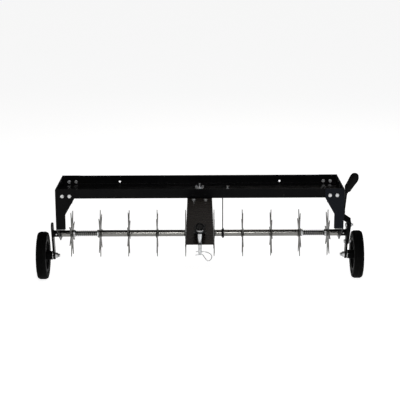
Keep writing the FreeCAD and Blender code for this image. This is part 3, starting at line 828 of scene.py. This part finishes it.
@dataclass
class LeverGrip:
    """Moulded grip on the transport lever: narrow mouth, finger ribs and a swollen, domed head."""

    tilt: float = 33.0
    splay: float = 19.5
    half_width: float = 19.5 * MM
    half_thickness: float = 16.0 * MM
    margin: float = 0.9 * MM
    sections: int = 56
    points: int = 40
    swell_end: float = 0.62
    dome_start: float = 0.70
    mouth_end: float = 0.035
    rib_start: float = 0.10
    rib_end: float = 0.66
    rib_depth: float = 0.7 * MM
    rib_side_depth: float = 0.5 * MM
    ribs: int = 8

    def build(self) -> None:
        """Loft the grip over the end of the bar."""
        low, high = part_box("lever_grip")
        lean = math.radians(self.tilt)
        slope = math.radians(self.splay)
        along = Vector((0.0, -math.sin(lean), math.cos(lean)))
        wide = Vector((0.0, math.cos(lean), math.sin(lean)))
        out = Vector((math.cos(slope), 0, 0)) - along * math.sin(slope)
        shaft = joint_place("transport_swing")
        mouth = ((low.z - shaft.z + self.half_width * math.sin(lean)) / math.cos(lean)
                 + self.half_thickness * math.sin(slope))
        end = (high.z - shaft.z - self.half_width) / math.cos(lean) + self.half_width - self.margin
        first = low.x + self.half_thickness * math.cos(slope)
        rings = []
        for k in range(self.sections + 1):
            part = k / self.sections
            run = (end - mouth) * part
            centre = Vector((first + run * math.tan(slope), shaft.y, shaft.z)) + along * (mouth + run)
            rings.append(self.ring(part, centre, wide, out))
        piece = new_piece("lever_grip_skin", lofted("grip", rings))
        finish_piece(piece, GRIP, "transport_axle", replaces=["lever_grip"])

    def ring(self, part: float, centre: Vector, wide: Vector, out: Vector) -> list[Vector]:
        """One rounded ring of the grip.

        Args:
            part: 0 at the mouth, 1 at the end.
            centre: its middle.
            wide: unit vector across the bar's width.
            out: unit vector across the bar's thickness.

        Returns:
            The ring's points.
        """
        swell = min(1.0, part / self.swell_end)
        half_w = (self.half_width - self.margin) * (0.93 + 0.07 * swell)
        half_t = (self.half_thickness - self.margin) * (0.80 + 0.20 * swell ** 2)
        tip = max(0.0, (part - self.dome_start) / (1.0 - self.dome_start))
        shrink = math.sqrt(max(0.0, 1.0 - tip ** 2.2))
        half_w *= max(0.26, shrink)
        half_t *= max(0.30, shrink ** 0.8)
        mouth = max(0.0, 1.0 - part / self.mouth_end)
        half_w *= 1.0 - 0.06 * mouth
        half_t *= 1.0 - 0.10 * mouth
        if self.rib_start < part < self.rib_end:
            along_ribs = (part - self.rib_start) / (self.rib_end - self.rib_start)
            wave = math.sin(along_ribs * self.ribs * 2 * math.pi)
            half_t -= self.rib_depth * (0.5 + 0.5 * wave)
            half_w -= self.rib_side_depth * (0.5 + 0.5 * wave)
        points = []
        for k in range(self.points):
            angle = 2 * math.pi * k / self.points
            c, s = math.cos(angle), math.sin(angle)
            points.append(centre + wide * half_w * math.copysign(abs(c) ** 0.7, c)
                          + out * half_t * math.copysign(abs(s) ** 0.8, s))
        return points


@dataclass
class TransportAxle:
    """Arms, wheel bolts and lever: weld beads, screw threads and lock rings."""

    recipes: Recipes
    facts: MachineFacts
    hub_radius: float = 13 * MM
    wheel_bolt_radius: float = 6 * MM
    wheel_nut_height: float = 9.6 * MM
    lock_ring_radius: float = 8.4 * MM
    lock_ring_height: float = 1.2 * MM
    lower_thread: float = 4 * MM
    arm_thickness: float = 8 * MM
    bolt_tail: float = 18 * MM
    pitch: float = 1.75 * MM

    def arm_weld(self, side: Side) -> None:
        """Bead where one arm's hub meets its bar."""
        low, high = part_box(f"arm_{side.word}")
        bar = self.arm_thickness
        face = (high.x - bar) if side is Side.RIGHT else (low.x + bar)
        centre = Vector((face, self.facts.shaft.y, self.facts.shaft.z))
        seed = blob(centre + Vector((0, 0, self.hub_radius)), Vector((2.0, 2.4, 2.0)) * MM)
        piece = self.recipes.spin.grow(f"arm_{side.word}_weld", seed, BLACK, Count=20,
                                       Centre=tuple(centre), Smallest=0.96)
        finish_piece(piece, BLACK, "transport_axle")

    def thread(self, name: str, start: Vector, length: float, radius: float, turn: Vector,
               pitch: float, body: str) -> None:
        """Screw thread on a bolt's bare end.

        Args:
            name: piece name.
            start: where the thread begins, on the bolt's axis.
            length: threaded length.
            radius: bolt radius.
            turn: rotation from +Z to the bolt's direction.
            pitch: thread pitch.
            body: body it rides on.
        """
        piece = self.recipes.coil.grow(
            name, bpy.data.meshes.new("empty"), ZINC, Turns=length / pitch, Radius=radius - 0.1 * MM,
            Length=length, Wire=0.42 * pitch, Wire_Sides=4, Start=tuple(start), Turn=tuple(turn))
        finish_piece(piece, ZINC, body, smooth=False)

    def lock_ring(self, side: Side, nut_end: float, centre: Vector) -> None:
        """Nylon ring in the end of a wheel bolt's lock nut."""
        axis = Vector((-side.value, 0, 0))
        spot = Vector((nut_end, centre.y, centre.z))
        piece = new_piece(f"lock_ring_{side.word}",
                          ring_mesh(spot, axis, self.wheel_bolt_radius, self.lock_ring_radius,
                                    self.lock_ring_height))
        finish_piece(piece, NYLON, "transport_axle")

    def build(self) -> None:
        """Make the small pieces of both arms and the lever."""
        for side in Side:
            self.arm_weld(side)
            centre = self.facts.wheel(side)
            arm_low, arm_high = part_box(f"arm_{side.word}")
            bar = self.arm_thickness
            inner = (arm_high.x - bar) if side is Side.RIGHT else (arm_low.x + bar)
            nut_end = inner - side.value * self.wheel_nut_height
            bolt_end = inner - side.value * self.bolt_tail
            length = abs(nut_end - bolt_end) - 2.5 * MM
            start = min(nut_end - side.value * 1.4 * MM, bolt_end + side.value * 1.0 * MM)
            self.thread(f"wheel_bolt_thread_{side.word}", Vector((start, centre.y, centre.z)), length,
                        self.wheel_bolt_radius, Vector(ALONG_X), self.pitch, "transport_axle")
            self.lock_ring(side, nut_end, centre)
        self.lever_threads()

    def lever_threads(self) -> None:
        """Threads on the two bolts that hold the lever."""
        low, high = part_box("lever_nuts")
        _, bolt_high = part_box("lever_bolts")
        upper = Vector((high.x, low.y + SMALL_HALF_CORNERS, high.z - SMALL_HALF_FLATS))
        self.thread("lever_bolt_thread_upper", upper, bolt_high.x - high.x - 0.6 * MM,
                    SMALL_RADIUS, Vector(ALONG_X), SMALL_PITCH, "transport_axle")
        lower = Vector((high.x - 3 * MM, high.y - SMALL_HALF_CORNERS, low.z + SMALL_HALF_FLATS))
        self.thread("lever_bolt_thread_lower", lower, self.lower_thread,
                    SMALL_RADIUS, Vector(ALONG_X), SMALL_PITCH, "transport_axle")


@dataclass
class TrayFittings:
    """Fixings of the weight tray: head flanges at the corners and threads on the floor bolts."""

    recipes: Recipes
    flange_radius: float = 7.6 * MM
    flange_height: float = 1.1 * MM
    bolt_step: float = 27 * MM
    wing_hub: float = 10 * MM

    def corner_flanges(self) -> None:
        """Round flange under each of the eight corner bolt heads."""
        low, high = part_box("corner_bolts")
        step = Vector((self.bolt_step, 0, 0))
        height = (low.z + high.z) / 2
        rows = []
        for face, way in ((low.y + SMALL_HEAD, -1), (high.y - SMALL_HEAD, 1)):
            for x in (low.x + SMALL_HALF_CORNERS, high.x - SMALL_HALF_CORNERS - step.x):
                seed = ring_mesh(Vector((x, face, height)), Vector((0, way, 0)), SMALL_RADIUS,
                                 self.flange_radius, self.flange_height)
                rows.append(self.recipes.row.grow("flange", seed, STAR, Count=2, Step=tuple(step)))
        finish_piece(joined("corner_bolt_flanges", rows), STAR, "frame")

    def floor_threads(self, axle: TransportAxle) -> None:
        """Threads above the wing nut and the hanger's nut."""
        low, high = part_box("centre_bolt")
        middle = (low + high) / 2
        hub_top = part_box("centre_washer")[1].z + self.wing_hub
        axle.thread("centre_bolt_thread", Vector((middle.x, middle.y, hub_top)),
                    high.z - hub_top - THREAD_STOP, SMALL_RADIUS, Vector(), SMALL_PITCH, "frame")
        low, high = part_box("hanger_bolt")
        nut_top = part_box("hanger_nut")[1].z
        middle = (low + high) / 2
        axle.thread("hanger_bolt_thread", Vector((middle.x, middle.y, nut_top)),
                    high.z - nut_top - THREAD_STOP, SMALL_RADIUS, Vector(), SMALL_PITCH, "frame")

    def build(self, axle: TransportAxle) -> None:
        """Make the flanges and threads."""
        self.corner_flanges()
        self.floor_threads(axle)


@dataclass
class HitchPieces:
    """Small parts at the tongue's end: the bent wire hair pin and pads under the strap bolts."""

    wire: float = 1.5 * MM
    lean: float = 38.0
    loop: float = 37.0
    reach: float = 25.0
    washer_radius: float = 9 * MM
    washer_height: float = 1.4 * MM

    def build(self) -> None:
        """Bend the hair pin and lay the washers."""
        self.hair_pin()
        self.strap_washers()

    def hair_pin(self) -> None:
        """Smooth bent wire along the same run as the CAD node."""
        _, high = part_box("hair_pin")
        pin_low, pin_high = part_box("hitch_pin")
        centre = Vector(((pin_low.x + pin_high.x) / 2, (pin_low.y + pin_high.y) / 2, high.z - self.wire))
        lip = 8.25 / math.cos(math.radians(self.lean)) + 0.6
        bow = lip + 2.4
        side = 8.25
        leg = 13.7
        loop = self.loop
        far = leg + self.reach
        run = [(-leg, 0), (-side, 0), (0, 0), (side, 0), (leg, 0), (leg + 7.0, 1.5),
               (far - 9.0, 0.16 * loop), (far - 2.5, 0.32 * loop), (far, 0.54 * loop),
               (far - 2.0, 0.80 * loop), (far - 7.5, 0.96 * loop), (far - 13.5, loop),
               (far - 18.5, 0.86 * loop), (leg + 1.0, 0.60 * loop), (side + 1.5, lip + 2.0),
               (side - 1.5, lip), (0, bow), (-side, lip), (-leg, bow + 1.0)]
        slope = math.radians(self.lean)
        curve = bpy.data.curves.new("hair_pin_run", "CURVE")
        curve.dimensions = "3D"
        curve.bevel_depth = self.wire
        curve.bevel_resolution = 4
        curve.resolution_u = 8
        curve.use_fill_caps = True
        spline = curve.splines.new("NURBS")
        spline.points.add(len(run) - 1)
        for point, (u, v) in zip(spline.points, run):
            place = centre + Vector((u, -v * math.cos(slope), -v * math.sin(slope))) * MM
            point.co = (*place, 1.0)
        spline.order_u = 3
        spline.use_endpoint_u = True
        wire = new_piece("hair_pin_path", curve)
        graph = bpy.context.evaluated_depsgraph_get()
        mesh = bpy.data.meshes.new_from_object(wire.evaluated_get(graph))
        bpy.data.objects.remove(wire)
        finish_piece(new_piece("hair_pin_wire", mesh), ZINC, "clip", replaces=["hair_pin"])

    def strap_washers(self) -> None:
        """Washer under the head of each bolt in the strap's foot."""
        low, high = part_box("clevis_bolts")
        middle = (low.x + high.x) / 2
        face = high.z - SMALL_HEAD
        pieces = []
        for y in (low.y + SMALL_HALF_FLATS, high.y - SMALL_HALF_FLATS):
            ring = ring_mesh(Vector((middle, y, face)), Vector((0, 0, 1)), SMALL_RADIUS,
                             self.washer_radius, self.washer_height)
            pieces.append(new_piece("washer", ring))
        finish_piece(joined("strap_washers", pieces), ZINC, "frame")


# ------------------------------------------------------------------ studio


@dataclass
class Studio:
    """Pale floor, soft lights and the camera."""

    camera_place: Vector = field(default_factory=lambda: Vector((0.0011, -4.0001, 1.3720)))
    pitch: float = 13.69
    roll: float = -0.25
    lens: float = 103.8
    floor_glow: float = 0.88
    surroundings: float = 0.07
    backdrop_radius: float = 19.0
    backdrop_glow: float = 0.95

    def floor(self) -> None:
        """Large pale floor under the wheels."""
        mesh = bmesh.new()
        bmesh.ops.create_grid(mesh, x_segments=1, y_segments=1, size=20.0)
        data = bpy.data.meshes.new("floor")
        mesh.to_mesh(data)
        mesh.free()
        piece = new_piece("studio_floor", data)
        shader = Shader("floor_paper")
        shader.fixed(Roughness=0.9, Specular_IOR_Level=0.1, Emission_Color=(1.0, 1.0, 1.0, 1.0),
                     Emission_Strength=self.floor_glow)
        tone = shader.ramp(shader.noise(0.8, 2.0), 0.3, 0.7, 0.0, 1.0)
        shader.use(shader.blend(tone, (0.60, 0.60, 0.60), (0.62, 0.62, 0.62)), "Base Color")
        data.materials.append(shader.material)

    def backdrop(self) -> None:
        """Pale paper all round, seen directly but casting no light of its own."""
        mesh = bmesh.new()
        bmesh.ops.create_uvsphere(mesh, u_segments=48, v_segments=24, radius=self.backdrop_radius)
        bmesh.ops.reverse_faces(mesh, faces=mesh.faces)
        data = bpy.data.meshes.new("backdrop")
        mesh.to_mesh(data)
        mesh.free()
        piece = new_piece("studio_backdrop", data)
        shader = Shader("backdrop_paper")
        shader.fixed(Base_Color=(0, 0, 0, 1), Roughness=1.0, Specular_IOR_Level=0.0,
                     Emission_Color=(1.0, 1.0, 1.0, 1.0), Emission_Strength=self.backdrop_glow)
        data.materials.append(shader.material)
        piece.visible_diffuse = False
        piece.visible_glossy = False
        piece.visible_transmission = False
        piece.visible_shadow = False

    def light(self, name: str, place: Vector, target: Vector, size: float, power: float,
              colour: Colour = (1, 1, 1)) -> None:
        """One square soft light.

        Args:
            name: its name.
            place: where it hangs.
            target: what it points at.
            size: its side in metres.
            power: watts.
            colour: its tint.
        """
        lamp = bpy.data.lights.new(name, "AREA")
        lamp.energy = power
        lamp.size = size
        lamp.color = colour
        holder = bpy.data.objects.new(name, lamp)
        bpy.context.scene.collection.objects.link(holder)
        holder.location = place
        holder.rotation_euler = (target - place).to_track_quat("-Z", "Y").to_euler()

    def world(self) -> None:
        """Even white surroundings."""
        world = bpy.data.worlds.new("studio")
        world.use_nodes = True
        world.node_tree.nodes["Background"].inputs["Color"].default_value = (1, 1, 1, 1)
        world.node_tree.nodes["Background"].inputs["Strength"].default_value = self.surroundings
        bpy.context.scene.world = world

    def camera(self) -> None:
        """Camera in front, looking down the tongue."""
        data = bpy.data.cameras.new("camera")
        data.lens = self.lens
        data.sensor_width = 36.0
        data.clip_end = 100.0
        holder = bpy.data.objects.new("camera", data)
        bpy.context.scene.collection.objects.link(holder)
        turn = Matrix.Rotation(math.radians(90 - self.pitch), 4, "X") @ Matrix.Rotation(
            math.radians(self.roll), 4, "Z")
        holder.matrix_world = Matrix.Translation(self.camera_place) @ turn
        bpy.context.scene.camera = holder

    def build(self) -> None:
        """Set up everything that isn't the object."""
        self.floor()
        self.backdrop()
        self.world()
        aim = Vector((0, 0.1, 0.2))
        self.light("softbox_top", Vector((0.0, -0.9, 3.0)), aim, 1.8, 24.0)
        self.light("softbox_front", Vector((0.0, -3.6, 1.9)), aim, 0.9, 42.0)
        self.light("softbox_left", Vector((-2.8, -1.8, 1.1)), aim, 1.0, 7.0, (1.0, 0.96, 0.91))
        self.light("softbox_right", Vector((2.8, -2.2, 1.1)), aim, 1.0, 22.0, (0.80, 0.90, 1.0))
        self.light("softbox_rear", Vector((0.6, 3.0, 2.7)), aim, 1.2, 12.0, (1.0, 0.93, 0.88))
        self.camera()
        bpy.context.scene.view_settings.view_transform = "Standard"


# ------------------------------------------------------------------ whole machine


def main() -> None:
    """Build the machine's looks, then the studio."""
    logging.basicConfig(level=logging.INFO, format="%(name)s %(message)s")
    recipes = Recipes()
    facts = MachineFacts()
    CadFinishes().dress()
    for side in Side:
        RowSpring(recipes, side).build()
        RoadWheel(recipes, facts, side).build()
    StarRow(recipes, facts).build()
    axle = TransportAxle(recipes, facts)
    axle.build()
    LeverGrip().build()
    TrayFittings(recipes).build(axle)
    HitchPieces().build()
    Studio().build()


if __name__ == "__main__":
    main()
